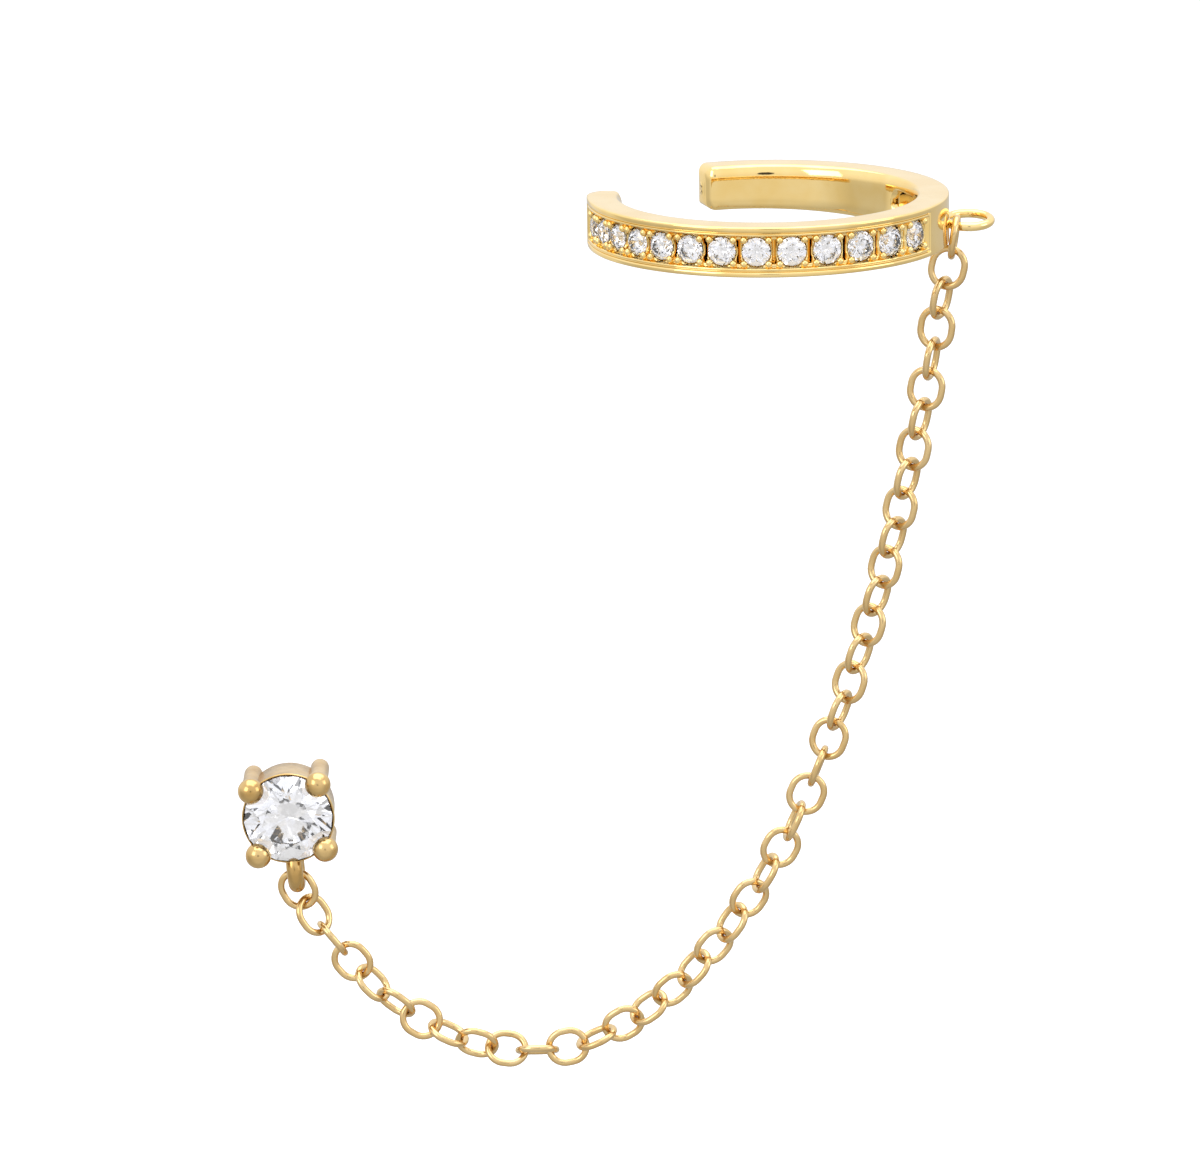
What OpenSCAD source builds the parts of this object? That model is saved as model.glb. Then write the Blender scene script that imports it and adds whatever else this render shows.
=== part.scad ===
// Ear chain earring: an open ear cuff with a row of round stones, a fine cable chain
// and a four-prong stud. The origin is the centre of the cuff, +Z is up along the cuff's axis,
// and +Y goes from the stones in front towards the head.

/* [Ear cuff] */
// Outside diameter of the open band
cuff_d = 12; // [11.8:0.1:12.4]
// Thickness of the band's wall
cuff_wall = 1.15; // [1.1:0.05:1.25]
// Height of the band where it carries the stones
cuff_h = 1.65; // [1.6:0.05:1.8]
// How much lower the band is at the end of its back arm
back_taper = 0.2; // [0.05:0.05:0.25]
// Angle where the back arm ends, counted from the right side round by the back
back_end = 112.5; // [108:0.5:116]
// Angle where the front arm ends, counted the same way
front_end = 170.5; // [168:0.5:174]
// Radius on the edges of both ends
end_round = 0.3; // [0.15:0.05:0.35]

/* [Row of stones] */
// Diameter of the first stone, at the right
first_stone_d = 1; // [0.96:0.01:1.04]
// Diameter of the last stone, at the left
last_stone_d = 0.85; // [0.8:0.01:0.88]
// Angle of the first stone round the cuff
first_stone_angle = 323.8; // [322:0.2:325]
// Angle between the first two stones
first_pitch = 12.3; // [12:0.1:12.5]
// Angle between the last two stones
last_pitch = 9.7; // [9.5:0.1:10]
// Radius of the bead claws beside the stones
bead_r = 0.11; // [0.09:0.01:0.11]

/* [Side ring] */
// Outside diameter of the ring soldered to the cuff's right side
side_ring_d = 1.75; // [1.65:0.05:1.9]
// Wire diameter of that ring
side_ring_wire = 0.3; // [0.27:0.01:0.32]
// How far the front of that ring dips, in degrees
side_ring_tilt = 7; // [4:1:9]

/* [Chain] */
// Wire diameter of a link
link_wire = 0.2; // [0.17:0.01:0.2]
// Width of a link over its wires
link_w = 1.33; // [1.3:0.01:1.4]

/* [Stud] */
// How far the stud's stone is left of the cuff's centre
stud_left = 16.4; // [15.5:0.1:17]
// How far the stud's stone is below the cuff's centre
stud_drop = 20.3; // [19.5:0.1:21]
// Diameter of the stud's stone
stud_stone_d = 3; // [2.9:0.05:3.1]
// Radius of the prongs' ball tips
prong_ball_r = 0.44; // [0.4:0.01:0.46]
// Radius of the prongs
prong_r = 0.32; // [0.28:0.01:0.34]
// Wire diameter of the loop below the stone
loop_wire = 0.56; // [0.5:0.02:0.58]
// Diameter of the ear post
post_d = 0.8; // [0.7:0.05:0.9]
// Length of the ear post behind the back plate
post_l = 9; // [8:0.5:10]
// How far the ear post slants down from square, in degrees
post_slant = 10.5; // [9:0.5:14]

/* [Hidden] */
$fn = 48;
row_stones = 13;
link_count = 43;
// Gap left between a stone and the metal round it
stone_gap = 0.035;
// Gap left between two links
link_gap = 0.128;

// Cuff
cuff_r = cuff_d / 2;
inner_r = cuff_r - cuff_wall;
half_h = cuff_h / 2;
edge_bevel = 0.05;
rim_w = 0.16;
line_w = 0.06;
line_depth = 0.05;
ridge_w = 0.07;
ridge_drop = 0.01;
field_half = half_h - rim_w - line_w - ridge_w;
field_depth = 0.13;
field_side = 0.04;
field_from = 184.5;
field_to = 331;
hollow_depth = 0.3;
hollow_half = 0.42;
hollow_from = 186;
hollow_to = 390;
taper_start = 2.2;

// Proportions of a brilliant, as parts of its diameter
table_part = 0.57;
crown_part = 0.155;
girdle_part = 0.03;
pavilion_part = 0.43;
star_part = 0.8;
lower_part = 0.24;
table_sink = 0.02;
bead_root = 0.03;
bead_h = 0.1;
bead_taper = 0.7;
slot_w = 0.09;
slot_half = 0.4;
slot_depth = 0.12;
drill_part = 0.2;
// Depth below the girdle where the hole behind a stone begins, in the hollow behind the row
drill_from = 1.2;
// How far a cut reaches past the metal that it opens
past = 1;
// Trim that leaves no thin sliver where a rounded edge runs out into a flat face
sliver = 0.001;

// Side ring
ring_r = (side_ring_d - side_ring_wire) / 2;
ring_sink = 0.23;
ring_x = cuff_r + side_ring_d / 2 - ring_sink;
ring_z = -0.2;
// Where the first link hangs, as an angle round the ring
hang_angle = 226;
hang_gap = 0.03;
// Half of the length inside a link, near enough to hang the first one on the ring
hang_drop = 0.58;

// Stud
stud_r = stud_stone_d / 2;
stud_roll = -5;
stud_front = 0.7;
prong_offset = 0.11;
prong_circle = stud_r + prong_offset;
prong_tip = 0.15;
cup_depth = 1.9;
cup_wall = 0.24;
cup_lip = 0.12;
plate_depth = 0.35;
plate_proud = 0.21;
plate_r = 1.1;
// Collar at the foot of the post, square to it, that a clutch stops at
collar_r = 0.65;
collar_l = 0.45;
loop_r = 0.55;
loop_offset = 0.46;
loop_drop = stud_r + loop_offset;
loop_depth = 0.7;
// Where the last link's centre hangs: to the right of the loop's middle and below it
last_link_side = 0.24;
last_link_drop = 0.74;
stud_place = [-stud_left, -stud_front, -stud_drop];

// Course of the chain in the picture plane, from the first link's centre to the last one's.
// Each row: percent of the way across, percent of the way down, percent of the way back
COURSE = [
    [0, 0, 0],
    [1.95, 9.3, 4],
    [4.2, 23, 12],
    [8.15, 41.3, 22],
    [13, 59.4, 32],
    [19, 77, 42],
    [26.3, 93.9, 51],
    [36.6, 109.5, 60],
    [46.6, 119.3, 68],
    [59.3, 125.6, 75],
    [73.3, 124.8, 82],
    [85.6, 118.1, 88],
    [94.9, 107.9, 95],
    [100, 100, 100]
];

// Turn of the links about the chain's course. Each row: link number, turn in degrees
TURNS = [
    [0, 85],
    [2, 64],
    [4, 75],
    [7, 58],
    [11, 53],
    [15, 55],
    [18, 82],
    [21, 100],
    [24, 118],
    [28, 118],
    [31, 85],
    [35, 12],
    [38, -66],
    [40, -104],
    [42, -170]
];

function stone_name(k) = str("cuff_stone_", k < 10 ? "0" : "", k);

// Brilliant cut: the corners of each level, from the table down to the culet
function level(n, r, z, turn) =
    [for (i = [0:n - 1]) let (a = turn + 360 * i / n) [r * cos(a), r * sin(a), z]];

// Height where the star facets meet the girdle facets, so that the main facets are flat
function star_height(d) = d * crown_part * (1 - star_part * cos(22.5)) / (1 - table_part);

// Depth where the lower girdle facets meet the pavilion's main facets
function low_height(d) = -d * (girdle_part + pavilion_part * (1 - lower_part * cos(22.5)));

function brilliant_points(d) =
    let (r = d / 2, girdle = d * girdle_part)
    concat(
        level(8, r * table_part, d * crown_part, 0),
        level(8, r * star_part, star_height(d), 22.5),
        level(16, r, 0, 0),
        level(16, r, -girdle, 0),
        level(8, r * lower_part, low_height(d), 22.5),
        [[0, 0, -girdle - d * pavilion_part]]
    );

// Corner numbers of each level
function tab(i) = (i + 8) % 8;
function star(i) = 8 + (i + 8) % 8;
function upper(j) = 16 + j % 16;
function under(j) = 32 + j % 16;
function low(i) = 48 + (i + 8) % 8;
culet = 56;

BRILLIANT_FACES = concat(
    [[for (i = [7:-1:0]) tab(i)]],
    [for (i = [0:7]) [tab(i + 1), star(i), tab(i)]],
    [for (i = [0:7]) [star(i), upper(2 * i), star(i - 1), tab(i)]],
    [for (i = [0:7]) for (j = [2 * i, 2 * i + 1]) [upper(j + 1), upper(j), star(i)]],
    [for (j = [0:15]) [upper(j + 1), under(j + 1), under(j), upper(j)]],
    [for (i = [0:7]) for (j = [2 * i, 2 * i + 1]) [under(j), under(j + 1), low(i)]],
    [for (i = [0:7]) [low(i - 1), under(2 * i), low(i), culet]]
);

module brilliant(d) {
    polyhedron(points = brilliant_points(d), faces = BRILLIANT_FACES);
}

// The room that a brilliant needs in the metal, open above its table
module stone_room(d) {
    r = d / 2;
    top = d * crown_part;
    girdle = d * girdle_part;
    deep = d * pavilion_part;
    star_r = r * star_part;
    low_r = r * lower_part;
    gap = stone_gap;
    rotate_extrude()
        polygon([
            [0, top + past],
            [r * table_part, top + past],
            [r * table_part, top + gap],
            [star_r, star_height(d) + gap],
            [r + gap, gap / 2],
            [r + gap, -girdle - gap / 2],
            [low_r, low_height(d) - gap],
            [0, -girdle - deep - gap]
        ]);
}

// Stones of the row: angle round the cuff and diameter, counted from 0 at the right
pitch_step = (first_pitch - last_pitch) / (row_stones - 2);
function stone_angle(k) = first_stone_angle - first_pitch * k + pitch_step * k * (k - 1) / 2;
function stone_d(k) = first_stone_d + (last_stone_d - first_stone_d) * k / (row_stones - 1);
function slot_angle(k) = (stone_angle(k) + stone_angle(k + 1)) / 2;

// Turns +Z outwards at an angle of the cuff, with the girdle of a stone of diameter d at z = 0
module at_seat(k) {
    d = stone_d(k);
    rotate([0, 0, stone_angle(k)])
        translate([cuff_r - table_sink - d * crown_part, 0, 0])
            rotate([0, 90, 0])
                children();
}

// A turned ring of the given cross-section between two angles
module sector(from, to) {
    rotate([0, 0, from])
        rotate_extrude(angle = to - from)
            children();
}

module band_section() {
    b = edge_bevel;
    polygon([
        [inner_r + b, -half_h],
        [cuff_r - b, -half_h],
        [cuff_r, -half_h + b],
        [cuff_r, half_h - b],
        [cuff_r - b, half_h],
        [inner_r + b, half_h],
        [inner_r, half_h - b],
        [inner_r, -half_h + b]
    ]);
}

// What is cut from the front: a fine line below each rim, a low ridge, and the sunk field between them
module field_section() {
    rim = half_h - rim_w;
    ridge = rim - line_w;
    floor_half = field_half - field_side;
    side = [
        [cuff_r + past, rim + line_w / 2],
        [cuff_r, rim],
        [cuff_r - line_depth, rim - line_w / 2],
        [cuff_r - ridge_drop, ridge],
        [cuff_r - ridge_drop, field_half],
        [cuff_r - field_depth, floor_half]
    ];
    polygon(concat(side, [for (i = [len(side) - 1:-1:0]) [side[i].x, -side[i].y]]));
}

// The waste outside a rounded edge that runs along z
module edge_waste(r, l) {
    difference() {
        translate([0, 0, -l / 2])
            cube([r + past / 2, r + past / 2, l]);
        cylinder(r = r, h = l + past, center = true);
        translate([-past / 2, -past / 2, -(l + past) / 2])
            cube([past / 2 + sliver, r + 2 * past, l + past]);
    }
}

// Rounds the four edges of an arm's end that lies in the plane y = 0 and goes on to -y
module end_waste() {
    r = end_round;
    mid_r = (inner_r + cuff_r) / 2;
    for (s = [-1, 1]) {
        translate([mid_r, -r, s * (half_h - r)])
            mirror([0, 0, s < 0 ? 1 : 0])
                rotate([0, -90, 0])
                    edge_waste(r, cuff_wall + past);
    }
    translate([cuff_r - r, -r, 0])
        edge_waste(r, cuff_h + past);
    translate([inner_r + r, -r, 0])
        mirror([1, 0, 0])
            edge_waste(r, cuff_h + past);
}

// The band is hollow behind the stones, to save weight and let light in
module inner_hollow() {
    sector(hollow_from, hollow_to)
        translate([inner_r - past / 2, -hollow_half])
            square([past / 2 + hollow_depth, 2 * hollow_half]);
}

// Lowers the band towards its back arm, as a tilted cut below it
module taper_waste() {
    tilt = atan(back_taper / (cuff_r - taper_start));
    rotate([0, 0, back_end])
        translate([taper_start, -cuff_d, -half_h])
            rotate([0, -tilt, 0])
                translate([0, 0, -past])
                    cube([cuff_d, 2 * cuff_d, past]);
}

// Four bead claws lean on the crown of stone k
module beads(k) {
    reach = stone_d(k) / 2 + stone_gap;
    rotate([0, 0, stone_angle(k)])
        for (sy = [-1, 1], sz = [-1, 1])
            translate([cuff_r - field_depth - bead_root, sy * reach * cos(45), sz * reach * sin(45)])
                rotate([0, 90, 0])
                    cylinder(r1 = bead_r, r2 = bead_r * bead_taper, h = bead_root + bead_h);
}

// A slot parts each stone's beads from those of the next one
module slot(angle) {
    rotate([0, 0, angle])
        translate([cuff_r - field_depth - slot_depth, -slot_w / 2, -slot_half])
            cube([past, slot_w, 2 * slot_half]);
}

module side_ring() {
    translate([ring_x, 0, ring_z])
        rotate([side_ring_tilt, 0, 0])
            rotate_extrude()
                translate([ring_r, 0])
                    circle(r = side_ring_wire / 2);
}

// The band with its field, cut lines, hollow back and rounded ends, before the stones are set
module plain_band() {
    difference() {
        sector(front_end, 360 + back_end)
            band_section();
        sector(field_from, field_to)
            field_section();
        inner_hollow();
        rotate([0, 0, back_end])
            end_waste();
        rotate([0, 0, front_end])
            mirror([0, 1, 0])
                end_waste();
        taper_waste();
    }
}

module cuff_band() {
    color("gold") {
        difference() {
            union() {
                plain_band();
                for (k = [0:row_stones - 1])
                    beads(k);
            }
            for (k = [0:row_stones - 2])
                slot(slot_angle(k));
            for (k = [0:row_stones - 1])
                at_seat(k) {
                    stone_room(stone_d(k));
                    translate([0, 0, -drill_from])
                        cylinder(r = stone_d(k) * drill_part, h = past);
                }
        }
        side_ring();
    }
}

module row_stone(k) {
    color("aliceblue")
        at_seat(k - 1)
            brilliant(stone_d(k - 1));
}

// The chain's course: a smooth curve through the rows of COURSE
ring_reach = ring_r * sin(hang_angle);
COURSE_START = [
    ring_x + ring_r * cos(hang_angle),
    ring_reach * cos(side_ring_tilt),
    ring_z + ring_reach * sin(side_ring_tilt) + side_ring_wire / 2 + hang_gap - hang_drop
];
COURSE_END = stud_place + [last_link_side, stud_front, -loop_drop - last_link_drop];

function course_row(i) =
    let (row = COURSE[i] / 100, way = COURSE_END - COURSE_START)
    COURSE_START + [row.x * way.x, row.z * way.y, row.y * way.z];

last_row = len(COURSE) - 1;
// Knots beyond both ends, which set the curve's direction there
KNOT_BEFORE = [0, 0, 1.2];
KNOT_AFTER = [-0.3, 0, 1.1];
KNOTS = concat(
    [course_row(0) + KNOT_BEFORE],
    [for (i = [0:last_row]) course_row(i)],
    [course_row(last_row) + KNOT_AFTER]
);

// Point between knots 1 + i and 2 + i, at t from 0 to 1, on a curve that runs through all knots
function curve_point(i, t) =
    let (a = KNOTS[i], b = KNOTS[i + 1], c = KNOTS[i + 2], d = KNOTS[i + 3])
    0.5 * (2 * b + (c - a) * t + (2 * a - 5 * b + 4 * c - d) * t * t + (3 * b - 3 * c + d - a) * t * t * t);

curve_steps = 16;
CURVE = concat(
    [for (i = [0:last_row - 1], j = [0:curve_steps - 1]) curve_point(i, j / curve_steps)],
    [KNOTS[last_row + 1]]
);
curve_last = len(CURVE) - 1;
function step_after(i) = i < curve_last ? norm(CURVE[i + 1] - CURVE[i]) : 0;
RUN = [for (i = 0, run = 0; i <= curve_last; run = run + step_after(i), i = i + 1) run];
chain_run = RUN[curve_last];

function at_run(run) =
    [for (axis = [0:2]) lookup(run, [for (i = [0:curve_last]) [RUN[i], CURVE[i][axis]]])];

// A link is as long inside as the step from link to link, the gap, and nothing more
link_pitch = chain_run / (link_count - 1);
link_inside = link_pitch + link_gap;
link_straight = link_inside + 2 * link_wire - link_w;

module link() {
    turn_r = (link_w - link_wire) / 2;
    for (s = [-1, 1]) {
        translate([0, 0, s * link_straight / 2])
            rotate([90, 0, 0])
                rotate([0, 0, s > 0 ? 0 : 180])
                    rotate_extrude(angle = 180)
                        translate([turn_r, 0])
                            circle(r = link_wire / 2);
        translate([s * turn_r, 0, 0])
            cylinder(r = link_wire / 2, h = link_straight, center = true);
    }
}

module chain() {
    color("khaki")
        for (i = [0:link_count - 1]) {
            look = link_wire / 2;
            here = at_run(i * link_pitch);
            ahead = at_run(i * link_pitch + look) - at_run(i * link_pitch - look);
            turn = lookup(i, TURNS) - (i % 2 == 0 ? 0 : 90);
            translate(here)
                rotate([0, acos(ahead.z / norm(ahead)), atan2(ahead.y, ahead.x)])
                    rotate([0, 0, -turn])
                        link();
        }
}

// Places the stud: the stone's girdle in the plane y = 0 of the module, its table towards -y
module at_stud() {
    translate(stud_place)
        rotate([0, stud_roll, 0])
            children();
}

module prong() {
    rotate([-90, 0, 0])
        cylinder(r = prong_r, h = cup_depth);
    rotate([90, 0, 0])
        cylinder(r = prong_r, h = prong_tip);
    translate([0, -prong_tip, 0])
        sphere(r = prong_ball_r);
    translate([0, cup_depth, 0])
        sphere(r = prong_r);
}

// Cup wall under the stone: straight outside, with a rolled front lip
module cup() {
    rotate([-90, 0, 0])
        rotate_extrude() {
            translate([stud_r - cup_wall, cup_lip])
                square([cup_wall, cup_depth - cup_lip]);
            translate([stud_r - cup_lip, cup_lip])
                circle(r = cup_lip);
        }
}

module back_plate() {
    translate([0, cup_depth - plate_depth, 0])
        rotate([-90, 0, 0])
            cylinder(r1 = stud_r - cup_wall / 2, r2 = plate_r, h = plate_depth + plate_proud);
}

module ear_post() {
    translate([0, cup_depth, 0])
        rotate([-90 - post_slant, 0, 0]) {
            cylinder(d = post_d, h = post_l);
            cylinder(r = collar_r, h = collar_l);
            translate([0, 0, post_l])
                sphere(d = post_d);
        }
}

module chain_loop() {
    translate([0, loop_depth, -loop_drop])
        rotate([0, 90, 0])
            rotate_extrude()
                translate([loop_r, 0])
                    circle(d = loop_wire);
}

module stud_setting() {
    color("goldenrod")
        at_stud()
            difference() {
                union() {
                    cup();
                    back_plate();
                    chain_loop();
                    for (a = [45:90:315])
                        translate([prong_circle * cos(a), 0, prong_circle * sin(a)])
                            prong();
                }
                rotate([90, 0, 0])
                    stone_room(stud_stone_d);
            }
    color("goldenrod")
        at_stud()
            ear_post();
}

module stud_stone() {
    color("white")
        at_stud()
            rotate([90, 0, 0])
                brilliant(stud_stone_d);
}

cuff_band();
for (k = [1:row_stones]) row_stone(k);
chain();
stud_setting();
stud_stone();
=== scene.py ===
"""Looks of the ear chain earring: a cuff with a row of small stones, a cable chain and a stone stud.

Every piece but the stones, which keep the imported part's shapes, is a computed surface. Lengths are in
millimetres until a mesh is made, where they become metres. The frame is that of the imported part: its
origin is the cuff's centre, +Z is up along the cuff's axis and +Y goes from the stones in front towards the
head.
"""

import math
from types import SimpleNamespace

import bpy
import numpy as np
from mathutils import Matrix, Vector


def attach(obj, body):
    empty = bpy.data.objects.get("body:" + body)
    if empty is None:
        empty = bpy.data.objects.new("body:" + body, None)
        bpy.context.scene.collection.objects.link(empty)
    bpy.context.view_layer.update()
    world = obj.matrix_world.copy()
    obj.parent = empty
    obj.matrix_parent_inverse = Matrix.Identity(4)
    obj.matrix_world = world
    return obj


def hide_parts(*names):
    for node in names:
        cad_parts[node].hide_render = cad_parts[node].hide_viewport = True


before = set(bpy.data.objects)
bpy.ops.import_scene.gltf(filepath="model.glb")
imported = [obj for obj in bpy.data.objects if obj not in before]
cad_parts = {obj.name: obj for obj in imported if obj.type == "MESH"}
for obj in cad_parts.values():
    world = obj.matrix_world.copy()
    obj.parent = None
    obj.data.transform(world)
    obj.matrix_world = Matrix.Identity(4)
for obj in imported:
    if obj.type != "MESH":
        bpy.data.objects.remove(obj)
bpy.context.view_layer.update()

bl_info = {
    "name": "Ear chain earring",
    "version": (1, 0, 0),
    "blender": (4, 5, 0),
    "location": "3D View > Sidebar > Earring",
    "description": "Builds the cuff, stones, chain and stud of an ear chain earring",
    "category": "Add Mesh",
}

MM = 0.001
PI = math.pi


# Sizes


def length(name, description, default):
    """A length as a property; the default is given in millimetres and kept in metres."""
    return bpy.props.FloatProperty(
        name=name,
        description=description,
        default=default * MM,
        min=0.0,
        precision=5,
        subtype="DISTANCE",
        unit="LENGTH",
    )


def angle(name, description, default):
    """An angle as a property; the default is given in degrees and kept in radians."""
    return bpy.props.FloatProperty(
        name=name,
        description=description,
        default=math.radians(default),
        precision=2,
        subtype="ANGLE",
        unit="ROTATION",
    )


def colour(name, description, default):
    """A colour as a property, in linear red, green and blue."""
    return bpy.props.FloatVectorProperty(
        name=name, description=description, default=default, min=0.0, max=1.0, subtype="COLOR", size=3
    )


def part(name, description, default):
    """A number from 0 to 1 as a property."""
    return bpy.props.FloatProperty(
        name=name, description=description, default=default, min=0.0, max=1.0, subtype="FACTOR"
    )


def plain_sizes(group):
    """The sizes of a group as plain numbers: lengths in millimetres and angles in degrees."""
    sizes = {}
    for key, prop in group.bl_rna.properties.items():
        if prop.type == "FLOAT":
            scale = {"LENGTH": 1 / MM, "ROTATION": 180 / PI}.get(prop.unit, 1.0)
            sizes[key] = getattr(group, key) * scale
    return SimpleNamespace(**sizes)


class CuffSizes(bpy.types.PropertyGroup):
    """Sizes of the ear cuff."""

    radius: length("Radius", "Outside radius of the band", 6.0)
    wall: length("Wall", "Thickness of the band", 1.15)
    half_height: length("Half height", "Half the height of the band", 0.825)
    front_end: angle("Front end", "Angle where the front arm ends, counted from the right side", 170.5)
    back_end: angle("Back end", "Angle where the back arm ends, counted the same way", 472.5)
    end_round: length("End rounding", "Radius on the edges of the back arm's end", 0.36)
    front_round: length("Front end rounding", "Radius of that end's outer corner, in plan", 0.8)
    front_inner: length("Front end inner corner", "Radius of the inner corner of that end", 0.3)
    front_edge: length("Front end edge", "Radius on the upper and lower edge of the front arm's end", 0.14)
    edge_round: length("Edge rounding", "Radius on the long edges outside", 0.06)
    ease_high: length("Inner easing, height", "How far from its edges the inside curves away", 0.56)
    ease_deep: length("Inner easing, depth", "How far the inside has curved away at its edges", 0.16)
    taper: length("Taper", "How much lower the back arm ends", 0.2)
    field_from: angle("Field from", "Angle where the sunk field begins", 184.5)
    field_to: angle("Field to", "Angle where the sunk field ends", 331.0)
    hollow_from: angle("Hollow from", "Angle where the inner hollow begins", 186.0)
    hollow_to: angle("Hollow to", "Angle where the inner hollow ends", 390.0)
    bead: length("Bead", "Radius of a bead claw", 0.125)
    ring: length("Side ring", "Radius of the side ring's centre line", 0.725)
    ring_wire: length("Side ring wire", "Radius of the side ring's wire", 0.15)
    ring_tilt: angle("Side ring dip", "How far the front of the side ring dips", 7.0)


class ChainSizes(bpy.types.PropertyGroup):
    """Sizes of a chain link."""

    wire: length("Wire", "Diameter of the wire", 0.24)
    long: length("Length", "Length of a link over its wires", 1.526)
    wide: length("Width", "Width of a link over its wires", 1.34)


class StudSizes(bpy.types.PropertyGroup):
    """Sizes of the stud."""

    left: length("Left", "How far the stone is left of the cuff's centre", 16.4)
    drop: length("Drop", "How far the stone is below the cuff's centre", 20.3)
    front: length("Front", "How far the girdle is in front of the cuff's axis", 0.7)
    roll: angle("Roll", "Turn of the stud in the picture plane", -5.0)
    stone: length("Stone", "Radius of the stone", 1.5)
    ball: length("Ball", "Radius of a prong's tip", 0.44)
    tip: length("Tip", "How far a prong's tip lies in front of the girdle", 0.15)
    prong: length("Prong", "Radius of a prong", 0.32)
    depth: length("Depth", "Depth of the cup behind the girdle", 1.9)
    loop: length("Loop", "Radius of the loop's centre line", 0.55)
    loop_wire: length("Loop wire", "Radius of the loop's wire", 0.28)
    post: length("Post", "Length of the post behind the setting", 9.0)
    slant: angle("Slant", "How far the post slants down from square", 10.5)


class Finish(bpy.types.PropertyGroup):
    """Colours and polish of the metal and the stones."""

    cuff: colour("Cuff", "Gold of the cuff", (0.93, 0.7, 0.31))
    cuff_deep: colour("Cuff, deeper", "Deeper tone of the cuff's gold", (0.9, 0.64, 0.24))
    cuff_polish: part("Cuff polish", "Roughness of the cuff", 0.06)
    chain: colour("Chain", "Gold of the chain", (0.76, 0.55, 0.27))
    chain_deep: colour("Chain, deeper", "Deeper tone of the chain's gold", (0.7, 0.48, 0.21))
    chain_polish: part("Chain polish", "Roughness of the chain", 0.17)
    stud: colour("Stud", "Gold of the stud", (0.76, 0.54, 0.24))
    stud_deep: colour("Stud, deeper", "Deeper tone of the stud's gold", (0.56, 0.35, 0.12))
    stud_polish: part("Stud polish", "Roughness of the stud", 0.2)
    row_tint: colour("Row stones", "Tint of the small stones", (1.0, 0.985, 0.99))
    stud_tint: colour("Stud stone", "Tint of the large stone", (1.0, 0.99, 0.995))


# Row of stones: first angle, first and last pitch in degrees, first and last diameter in mm
ROW_COUNT = 13
ROW_ANGLE = 323.8
ROW_PITCH = (12.3, 9.7)
ROW_DIAMETER = (1.0, 0.85)
TABLE_SINK = 0.02
# Proportions of a brilliant, as parts of its diameter
TABLE = 0.57
CROWN = 0.155
GIRDLE = 0.03
PAVILION = 0.43
# Centre of the side ring
RING_AT = np.array([6.645, 0, -0.2])


def row_angles():
    """Angle of each stone: each step is a little shorter than the one before."""
    k = np.arange(ROW_COUNT)
    step = (ROW_PITCH[0] - ROW_PITCH[1]) / (ROW_COUNT - 2)
    return ROW_ANGLE - ROW_PITCH[0] * k + step * k * (k - 1) / 2


def row_diameters():
    """Diameter of each stone, falling evenly along the row."""
    return np.linspace(*ROW_DIAMETER, ROW_COUNT)


# Meshes


def build_mesh(name, points, quads, tris=()):
    """Makes an object from arrays of points in millimetres, four-sided faces and three-sided faces."""
    quads = np.asarray(quads, np.int32).reshape(-1, 4)
    tris = np.asarray(tris, np.int32).reshape(-1, 3)
    mesh = bpy.data.meshes.new(name)
    mesh.vertices.add(len(points))
    mesh.vertices.foreach_set("co", (np.asarray(points) * MM).astype(np.float32).ravel())
    mesh.loops.add(quads.size + tris.size)
    mesh.loops.foreach_set("vertex_index", np.concatenate([quads.ravel(), tris.ravel()]))
    starts = np.concatenate([np.arange(len(quads)) * 4, quads.size + np.arange(len(tris)) * 3])
    mesh.polygons.add(len(starts))
    mesh.polygons.foreach_set("loop_start", starts.astype(np.int32))
    mesh.polygons.foreach_set("use_smooth", np.ones(len(starts), bool))
    mesh.update(calc_edges=True)
    if mesh.validate():
        raise RuntimeError(f"{name} has a bad face")
    obj = bpy.data.objects.new(name, mesh)
    bpy.context.scene.collection.objects.link(obj)
    return obj


def grid_faces(rows, cols, wrap_rows=False):
    """Faces of a grid of closed rows of cols points; wrapping joins the last row to the first."""
    r = np.arange(rows if wrap_rows else rows - 1)[:, None]
    c = np.arange(cols)[None, :]
    r2, c2 = (r + 1) % rows, (c + 1) % cols
    return np.stack([r * cols + c, r2 * cols + c, r2 * cols + c2, r * cols + c2], -1).reshape(-1, 4)


def fan(ring, centre, turn):
    """Three-sided faces from a closed ring of point numbers to one centre point."""
    ring = np.asarray(ring)
    nxt = np.roll(ring, -1)
    mid = np.full(len(ring), centre)
    return np.stack([nxt, ring, mid] if turn else [ring, nxt, mid], -1)


def lathe(profile, sides=64):
    """Turns rows of (radius, height) about the Z axis; both ends of the profile lie on the axis."""
    inner = np.asarray(profile[1:-1], float)
    a = np.linspace(0, 2 * PI, sides, endpoint=False)
    ring = np.stack([np.cos(a), np.sin(a)], -1)
    grid = np.empty((len(inner), sides, 3))
    grid[..., :2] = inner[:, None, :1] * ring[None]
    grid[..., 2] = inner[:, None, 1]
    n = grid.shape[0] * sides
    points = np.vstack([grid.reshape(-1, 3), [[0, 0, profile[0][1]], [0, 0, profile[-1][1]]]])
    quads = grid_faces(len(inner), sides)[:, ::-1]
    tris = np.vstack([fan(np.arange(sides), n, True), fan(np.arange(n - sides, n), n + 1, False)])
    return points, quads, tris


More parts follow.
